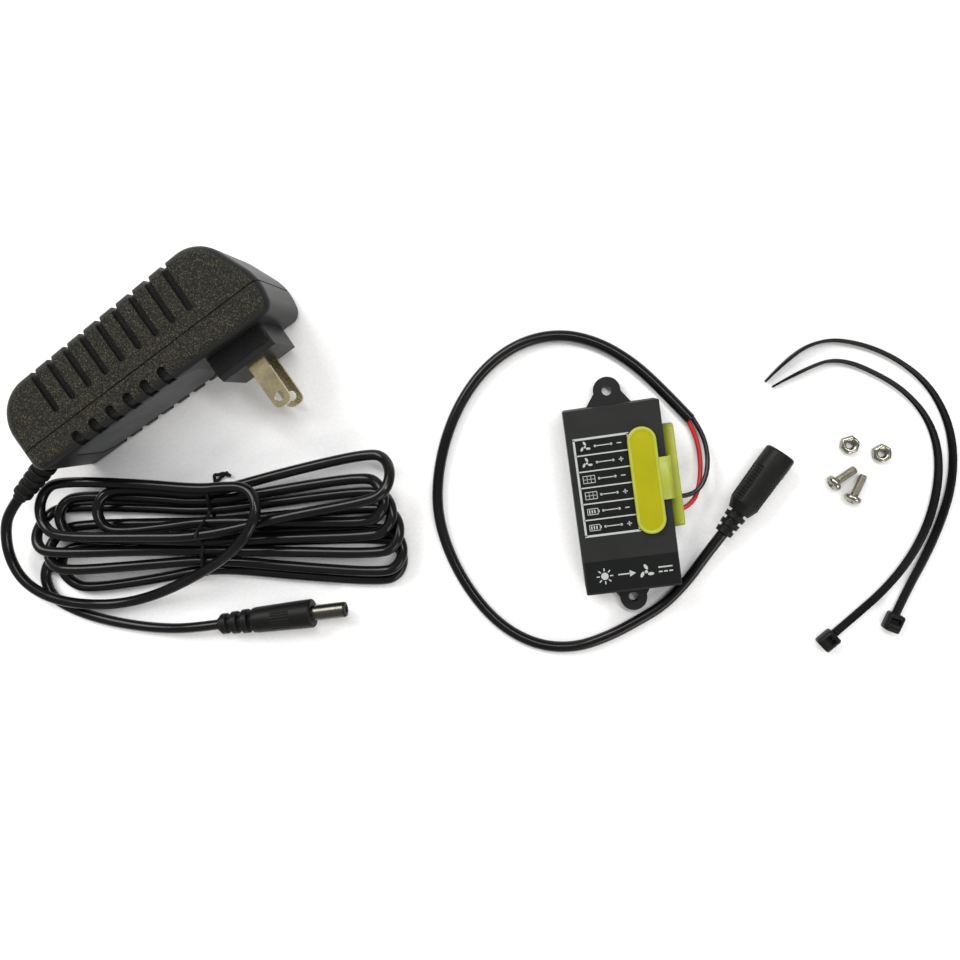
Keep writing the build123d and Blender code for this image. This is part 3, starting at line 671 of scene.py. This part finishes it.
def slab(half_y, half_z, round_off, x, z, count=80):
    """A rounded rectangle in the Y-Z plane, around the terminals' middle row."""
    ring = []
    for k in range(count):
        angle = TAU * (k + 0.5) / count
        y = ROW_MID + math.copysign(half_y - round_off, math.cos(angle)) + round_off * math.cos(angle)
        up = z + math.copysign(half_z - round_off, math.sin(angle)) + round_off * math.sin(angle)
        ring.append((x * MM, y * MM, up * MM))
    return ring


def add_cover():
    shape = [(2.6, 15.0, 14.7), (2.9, 15.4, 14.6), (3.0, 15.5, 14.0), (3.5, 16.0, 13.95),
             (3.6, 16.1, 14.1), (3.7, 16.2, 15.6), (4.5, 17.4, 15.6), (4.68, 17.58, 15.75),
             (4.7, 17.6, 16.4), (4.6, 17.5, 16.75), (4.3, 17.2, 16.9), (3.95, 16.85, 16.88),
             (3.7, 16.6, 16.72), (3.4, 16.3, 16.62), (2.6, 15.5, 16.66), (1.4, 14.3, 16.74),
             (0.4, 13.3, 16.77)]
    verts, faces = rings_to_mesh([stadium(*ring) for ring in shape])
    pill = piece("cover_pill", verts, faces, "silicone", body="flap")
    # Painted highlight: the pill's outer rim polygons take the lighter silicone copy, standing for light on
    # the rounded rim.
    pill.data.materials.append(MATERIALS["silicone_rim"])
    for polygon in pill.data.polygons:
        out = abs(polygon.center.x / MM - PILL_X)
        tall = polygon.center.z / MM
        ends = max(abs(polygon.center.y / MM - ROW_MID) - 12.9, 0.0)
        if math.hypot(out, ends) > 3.62 and tall > 15.55:
            polygon.material_index = 1
    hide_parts("cover_flap")
    shape = [(15.45, 1.8, 0.5, 13.9), (15.45, 1.8, 0.5, 16.1), (17.2, 3.4, 2.2, 16.1),
             (17.2, 3.4, 2.2, 19.1), (17.05, 3.25, 2.1, 19.45), (16.8, 3.0, 2.0, 19.6),
             (16.2, 2.4, 1.6, 19.6), (16.05, 2.25, 1.5, 19.3)]
    rings = [slab(y, z, r, x, 7.6) for y, z, r, x in shape]
    verts, faces = rings_to_mesh(rings)
    # Painted highlight: the seal is made in the lighter silicone copy, standing for light falling on it.
    seal = piece("wire_seal", verts, faces, "silicone_rim")
    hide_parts("side_seal")
    for index in range(6):
        at = (19.2 * MM, (ROW_MID + (2.5 - index) * PITCH) * MM, 7.6 * MM)
        collar = [(0.0, 2.0), (0.3, 1.95), (0.4, 1.8), (0.4, 1.0), (-0.5, 0.78)]
        turned(f"seal_collar_{index + 1}", collar, pose(at, (1, 0, 0)), "silicone", None, 48, 0.3)
    path = [(12.4, 16.1), (13.2, 16.12), (14.0, 16.12), (14.8, 16.11), (15.4, 16.05), (15.85, 15.9),
            (16.2, 15.62), (16.42, 15.25), (16.55, 14.8), (16.6, 14.3), (16.6, 13.6), (16.6, 12.8),
            (16.6, 12.0), (16.6, 11.2), (16.7, 10.6)]
    section = [(-7, -0.3), (-6.8, -0.5), (6.8, -0.5), (7, -0.3), (7, 0.3), (6.8, 0.5), (-6.8, 0.5),
               (-7, 0.3)]
    rings = []
    for index, (x, z) in enumerate(path):
        back, ahead = path[max(index - 1, 0)], path[min(index + 1, len(path) - 1)]
        way = Vector((ahead[0] - back[0], ahead[1] - back[1])).normalized()
        out = Vector((-way.y, way.x))
        ring = []
        for across, lift in section:
            ring.append(((x + out.x * lift) * MM, (ROW_MID + across) * MM, (z + out.y * lift) * MM))
        rings.append(ring)
    verts, faces = rings_to_mesh(rings)
    # Painted highlight: the web is made in a lighter, paler silicone copy, standing for light on its flat
    # top.
    web = piece("hinge_web", verts, faces, "silicone_web", body=None)
    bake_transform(web)


def prints(name, shapes, low, high, material):
    """Flat printed marks: each shape is a polygon on the case's top."""
    verts, faces = [], []
    for shape in shapes:
        base, count = len(verts), len(shape)
        verts += [(x * MM, y * MM, low * MM) for x, y in shape]
        verts += [(x * MM, y * MM, high * MM) for x, y in shape]
        faces.append(tuple(base + count + k for k in range(count)))
        for k in range(count):
            m = (k + 1) % count
            faces.append((base + k, base + m, base + count + m, base + count + k))
    return piece(name, verts, faces, material, smooth=False)


def bar(x0, y0, x1, y1, width):
    way = Vector((x1 - x0, y1 - y0)).normalized() * (width / 2)
    return [(x0 + way.y, y0 - way.x), (x1 + way.y, y1 - way.x),
            (x1 - way.y, y1 + way.x), (x0 - way.y, y0 + way.x)]


def disc(x, y, radius, count=24):
    turns = [TAU * k / count for k in range(count)]
    return [(x + radius * math.cos(a), y + radius * math.sin(a)) for a in turns]


def outline(x0, y0, x1, y1, width):
    h = width / 2
    return [bar(x0 - h, y0, x1 + h, y0, width), bar(x0 - h, y1, x1 + h, y1, width),
            bar(x0, y0, x0, y1, width), bar(x1, y0, x1, y1, width)]


def fan_mark(x, y, size):
    shapes = [disc(x, y, size * 0.2)]
    for blade in range(3):
        turn = math.radians(90 + 120 * blade)
        shape = []
        for k in range(16):
            a = TAU * k / 16
            along = size * (0.62 + 0.36 * math.cos(a))
            across = size * (0.22 * math.sin(a) + 0.14 * math.cos(a))
            shape.append((x + along * math.cos(turn) - across * math.sin(turn),
                          y + along * math.sin(turn) + across * math.cos(turn)))
        shapes.append(shape)
    return shapes


def sun_mark(x, y, size):
    shapes = [disc(x, y, size * 0.45)]
    for ray in range(8):
        a = TAU * ray / 8
        shapes.append(bar(x + size * 0.62 * math.cos(a), y + size * 0.62 * math.sin(a),
                          x + size * math.cos(a), y + size * math.sin(a), size * 0.14))
    return shapes


def panel_mark(x, y, size):
    shapes = outline(x - size, y - size * 0.62, x + size, y + size * 0.62, 0.22)
    for at in (-0.33, 0.33):
        shapes.append(bar(x + size * at, y - size * 0.6, x + size * at, y + size * 0.6, 0.16))
    return shapes + [bar(x - size, y, x + size, y, 0.16)]


def battery_mark(x, y, size):
    shapes = outline(x - size, y - size * 0.5, x + size * 0.8, y + size * 0.5, 0.22)
    shapes.append(bar(x + size * 0.8, y, x + size * 1.05, y, size * 0.45))
    for at in (0.65, 0.2, -0.25):
        shapes.append(bar(x - size * at, y - size * 0.3, x - size * at, y + size * 0.3, 0.4))
    return shapes


def sign_mark(x, y, size, plus):
    shapes = [bar(x - size, y, x + size, y, 0.34)]
    return shapes + [bar(x, y - size, x, y + size, 0.34)] if plus else shapes


def add_prints():
    top = 15.5
    left, right, high, low = -13.3, 4.3, 21.0, -11.0
    step = (high - low) / 6
    field = [[(left, low), (right, low), (right, high), (left, high)],
             [(-15.1, -30.0), (15.2, -30.0), (15.2, -19.6), (-15.1, -19.6)]]
    prints("print_field", field, top, top + 0.02, "panel_black")
    marks = outline(left, low, right, high, 0.7)
    marks += [bar(left, high - step * k, right, high - step * k, 0.42) for k in range(1, 6)]
    for row, draw in enumerate((fan_mark, fan_mark, panel_mark, panel_mark, battery_mark, battery_mark)):
        y = high - step * (row + 0.5)
        marks += draw(-9.9, y, 1.9)
        marks.append(bar(-6.6, y, -1.4, y, 0.3))
        marks += [disc(-6.6, y, 0.42, 16), disc(-1.4, y, 0.42, 16)]
        marks += sign_mark(1.2, y, 0.75, row % 2 == 1)
    marks += sun_mark(-9.0, -24.8, 2.7)
    marks += [bar(-4.6, -24.8, -0.6, -24.8, 0.42), [(-0.8, -23.7), (1.2, -24.8), (-0.8, -25.9)]]
    marks += fan_mark(4.6, -24.9, 2.6)
    marks += [bar(8.6, -23.9, 13.2, -23.9, 0.45)]
    marks += [bar(8.6 + 1.7 * k, -25.4, 9.8 + 1.7 * k, -25.4, 0.45) for k in range(3)]
    prints("print_marks", marks, top + 0.02, top + 0.045, "print_grey")


# ================================================================ fixings

THREAD_PITCH = 0.5


def thread(x, r, angle):
    if x < 0.2 or r < 1.2:
        return 0.0
    return 0.26 * abs(2 * ((x / THREAD_PITCH - angle / TAU) % 1.0) - 1)


def add_screw(index, x, y, turn):
    radius = 2.8
    drop = math.asin((radius - 1.47) / 8.0)
    lean = Matrix.Rotation(math.radians(turn), 4, "Z") @ Matrix.Rotation(drop, 4, "Y")
    at = Matrix.Translation((x * MM, y * MM, (radius * math.cos(drop) + 0.05) * MM))
    name = f"screw_{index}"
    profile = [(0.0, 2.2), (0.0, 1.42), (0.2, 1.42), (7.4, 1.42), (7.9, 1.1), (8.0, 0.6)]
    turned(f"{name}_shank", profile, at @ lean, "bright_steel", thread, 40, 0.07)
    rings = [[(0.0, 1.3)] * 96, [(0.0, 2.55)] * 96, [(-0.2, 2.78)] * 96, [(-0.9, 2.8)] * 96]
    for k in range(1, 27):
        share = k / 26
        r = 2.8 * (1 - share * 0.97)
        rings.append([(-0.9 - 1.3 * math.sin(math.acos(min(r / 2.8, 1.0))), r)] * 96)
    mesh = []
    for ring in rings:
        spots = []
        for k, (along, r) in enumerate(ring):
            angle = TAU * k / 96
            a, b = r * math.cos(angle), r * math.sin(angle)
            cut = 0.0
            if along < -0.95 and (abs(a) < 0.42 and abs(b) < 1.5 or abs(b) < 0.42 and abs(a) < 1.5):
                cut = 0.9
            spots.append(((along + cut) * MM, a * MM, b * MM))
        mesh.append(spots)
    verts, faces = rings_to_mesh(mesh)
    head = piece(f"{name}_head", verts, faces, "bright_steel", place=at @ lean)
    return head


def add_nut(index, x, y, turn):
    count = 96
    half, tall, bore = 2.75, 2.4, 1.5
    rings = []
    for z, edge in ((0.0, 0.32), (0.32, 0.0), (tall - 0.32, 0.0), (tall, 0.32)):
        ring = []
        for k in range(count):
            angle = TAU * k / count
            flat = half / math.cos((angle % (TAU / 6)) - TAU / 12)
            r = min(flat, half / math.cos(TAU / 12) - edge * 1.2)
            ring.append((r * math.cos(angle) * MM, r * math.sin(angle) * MM, z * MM))
        rings.append(ring)
    turns = 30
    for k in range(turns + 1):
        z = tall * (1 - k / turns)
        ring = []
        for m in range(count):
            angle = TAU * m / count
            flare = 0.3 * max(0.0, 1 - min(z, tall - z) / 0.3)
            r = bore + flare - 0.2 * abs(2 * ((z / THREAD_PITCH - angle / TAU) % 1.0) - 1)
            ring.append((r * math.cos(angle) * MM, r * math.sin(angle) * MM, z * MM))
        rings.append(ring)
    verts, faces = rings_to_mesh(rings, caps=False, closed=True)
    place = Matrix.Translation((x * MM, y * MM, 0.0)) @ Matrix.Rotation(math.radians(turn), 4, "Z")
    return piece(f"nut_{index}", verts, faces, "bright_steel", place=place)


def add_fixings():
    heads = [add_screw(1, 70.6, -5.2, 25.5), add_screw(2, 75.8, -10.8, 56.0)]
    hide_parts("mounting_screws")
    nuts = [add_nut(1, 76.8, 6.4, 10.0), add_nut(2, 86.6, 2.2, 24.0)]
    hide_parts("mounting_nuts")


TIE_ROUTE_1 = [
    (64.2, -57.4), (73.5, -50.8), (83.0, -43.6), (91.4, -35.0), (98.4, -24.4),
    (102.8, -12.6), (104.5, -1.0), (103.0, 9.4), (98.5, 18.3), (91.0, 26.4), (76.4, 35.7),
    (65.0, 33.4), (54.4, 29.0),
]
TIE_ROUTE_2 = [
    (85.2, -53.0), (90.2, -44.2), (97.2, -33.6), (103.4, -22.0), (107.6, -10.8),
    (109.2, 1.0), (107.8, 12.4), (103.0, 23.4), (94.4, 32.6), (83.6, 39.2), (72.4, 42.3),
    (61.4, 38.8), (52.3, 31.0),
]


def smooth_line(route, pieces):
    """Points read from a smooth curve through the route's frame."""
    data = bpy.data.curves.new("line", "CURVE")
    data.dimensions = "3D"
    data.resolution_u = pieces
    spline = data.splines.new("NURBS")
    spline.points.add(len(route) - 1)
    for target, point in zip(spline.points, route):
        target.co = (point[0] * MM, point[1] * MM, 0.0, 1.0)
    spline.order_u = 3
    spline.use_endpoint_u = True
    holder = bpy.data.objects.new("line", data)
    mesh = bpy.data.meshes.new_from_object(holder)
    points = [vertex.co.copy() for vertex in mesh.vertices]
    bpy.data.objects.remove(holder)
    bpy.data.meshes.remove(mesh)
    bpy.data.curves.remove(data)
    return points


def add_strap(name, node, route, lean_low, lean_high):
    points = smooth_line(route, 60)
    total = sum((b - a).length for a, b in zip(points, points[1:]))
    run, rings = 0.0, []
    for index, here in enumerate(points):
        back, ahead = points[max(index - 1, 0)], points[min(index + 1, len(points) - 1)]
        if index:
            run += (here - points[index - 1]).length
        share = run / total
        way = (ahead - back).normalized()
        side = Vector((way.y, -way.x, 0.0))
        lean = math.radians(lean_low + (lean_high - lean_low) * min(max((share - 0.1) / 0.55, 0.0), 1.0))
        flat = side * math.cos(lean) + Vector((0, 0, 1)) * math.sin(lean)
        thick = Vector((0, 0, 1)) * math.cos(lean) - side * math.sin(lean)
        slim = 1.0 - 0.45 * max(0.0, (share - 0.93) / 0.07)
        wide, deep = 1.3 * slim, 0.55 * slim
        tooth = 0.32 * ((run / MM / 1.15) % 1.0) if share < 0.8 else 0.3
        lift = wide * math.sin(lean) + deep * math.cos(lean) + 0.05
        frame_at = here + Vector((0, 0, lift * MM))
        cut = 0.1 + tooth
        ring = []
        section = [(-1, -0.8), (-0.94, -1), (0.94, -1), (1, -0.8), (1, 0.8), (0.94, 1), (0.7, 1),
                   (0.62, cut), (-0.62, cut), (-0.7, 1), (-0.94, 1), (-1, 0.8)]
        for a, t in section:
            ring.append(frame_at + (flat * a * wide + thick * t * deep) * MM)
        rings.append(ring)
    verts, faces = rings_to_mesh(rings)
    strap = piece(name, verts, faces, "tie_nylon", smooth=False)
    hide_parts(node)
    return strap


def add_tie_head(name, at, turn):
    """A cable tie's head: a rounded block around a slot, with its pawl inside."""
    rings = []
    for z, shrink in ((0.0, 0.5), (0.5, 0.0), (4.0, 0.0), (4.5, 0.55)):
        rings.append((z, 3.1 - shrink, 2.6 - shrink, 0.9))
    loops = []
    count = 48
    for z, half_x, half_y, radius in rings:
        loop = []
        for k in range(count):
            a = TAU * (k + 0.5) / count
            loop.append(((-2.4 + math.copysign(half_x - radius, math.cos(a)) + radius * math.cos(a)) * MM,
                         (math.copysign(half_y - radius, math.sin(a)) + radius * math.sin(a)) * MM, z * MM))
        loops.append(loop)
    for z, half_x, half_y in ((4.5, 0.95, 1.85), (4.2, 0.8, 1.7), (0.3, 0.8, 1.7), (0.0, 0.95, 1.85)):
        loop = []
        for k in range(count):
            a = TAU * (k + 0.5) / count
            loop.append(((-1.6 + math.copysign(half_x - 0.2, math.cos(a)) + 0.2 * math.cos(a)) * MM,
                         (math.copysign(half_y - 0.2, math.sin(a)) + 0.2 * math.sin(a)) * MM, z * MM))
        loops.append(loop)
    verts, faces = rings_to_mesh(loops, caps=False, closed=True)
    place = Matrix.Translation((at[0] * MM, at[1] * MM, 0.0)) @ Matrix.Rotation(math.radians(turn), 4, "Z")
    piece(name, verts, faces, "tie_nylon", place=place)
    verts = [(-2.4, -1.4, 0.6), (-2.4, 1.4, 0.6), (-1.2, 1.4, 2.8), (-1.2, -1.4, 2.8),
             (-2.4, -1.4, 3.4), (-2.4, 1.4, 3.4)]
    verts = [tuple(value * MM for value in v) for v in verts]
    faces = [(0, 1, 2, 3), (3, 2, 5, 4), (0, 3, 4), (1, 5, 2), (0, 4, 5, 1)]
    piece(f"{name}_pawl", verts, faces, "tie_nylon", smooth=False, place=place)


def add_ties():
    add_strap("strap_1", "cable_tie_1", TIE_ROUTE_1, 12, 88)
    add_strap("strap_2", "cable_tie_2", TIE_ROUTE_2, 38, 90)
    add_tie_head("tie_head_1", (64.6, -57.1), 35.0)
    add_tie_head("tie_head_2", (85.4, -52.6), 60.0)


def add_twist_tie(supply):
    """A thin plastic-covered wire round the hank's waist, its ends twisted at the back edge."""
    strands = [Vector(p.co[:3]) for p in supply.data.splines[0].points]
    mesh = bpy.data.meshes.new_from_object(cord_line(strands))
    spots = [v.co.copy() for v in mesh.vertices][len(CORD_OUT_ROUTE) * 8:]
    bpy.data.meshes.remove(mesh)

    def over(along, across):
        x, y, _ = hank_point(along, across)
        here = Vector((x * MM, y * MM))
        top = TIE_D / 2 * MM
        for spot in spots:
            away = (spot.xy - here).length
            reach = (CORD_D + TIE_D * MM) / 2
            if away < reach:
                top = max(top, spot.z + math.sqrt(reach * reach - away * away))
        return (x, y, top / MM + 0.05)

    back = over(-2.0, 15.4)
    front = over(-7.0, -16.2)
    path = [hank_point(3.4, 18.8, back[2] + 0.6), hank_point(1.2, 17.6, back[2] + 0.2)]
    path += [over(-1.2 - 5.6 * k / 14, 15.6 - 31.6 * k / 14) for k in range(15)]
    path += [hank_point(-7.2, -18.0, max(front[2] * 0.5, 2.0)), hank_point(-6.8, -17.4, 0.75)]
    path += [hank_point(-4.6, -8.0, 0.65), hank_point(-3.0, 4.0, 0.65), hank_point(-1.6, 16.0, 0.75)]
    path += [hank_point(-1.2, 18.4, 2.4), hank_point(-0.4, 18.0, back[2] * 0.6)]
    path += [hank_point(2.2, 18.8, back[2])]
    path += [hank_point(4.4, 17.6, back[2] + 0.8)]
    data_cord = nurbs_cord("twist_wire", path, TIE_D * MM, "tie_wire")
    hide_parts("twist_tie")


def cord_line(strands):
    data = bpy.data.curves.new("strand_line", "CURVE")
    data.dimensions = "3D"
    data.resolution_u = 8
    spline = data.splines.new("NURBS")
    spline.points.add(len(strands) - 1)
    for target, point in zip(spline.points, strands):
        target.co = (*point, 1.0)
    spline.order_u = 3
    spline.use_endpoint_u = True
    return bpy.data.objects.new("strand_line", data)


# ================================================================ the scene

make_materials()
add_camera()
add_light()
add_floor()
paint_cad_nodes()
LEAD, BLACK, RED, SUPPLY_CORD = add_cords()
JACK, PLUG = add_connectors()
BOOT = add_boot()
add_cover()
add_prints()
add_fixings()
add_ties()
add_twist_tie(SUPPLY_CORD)
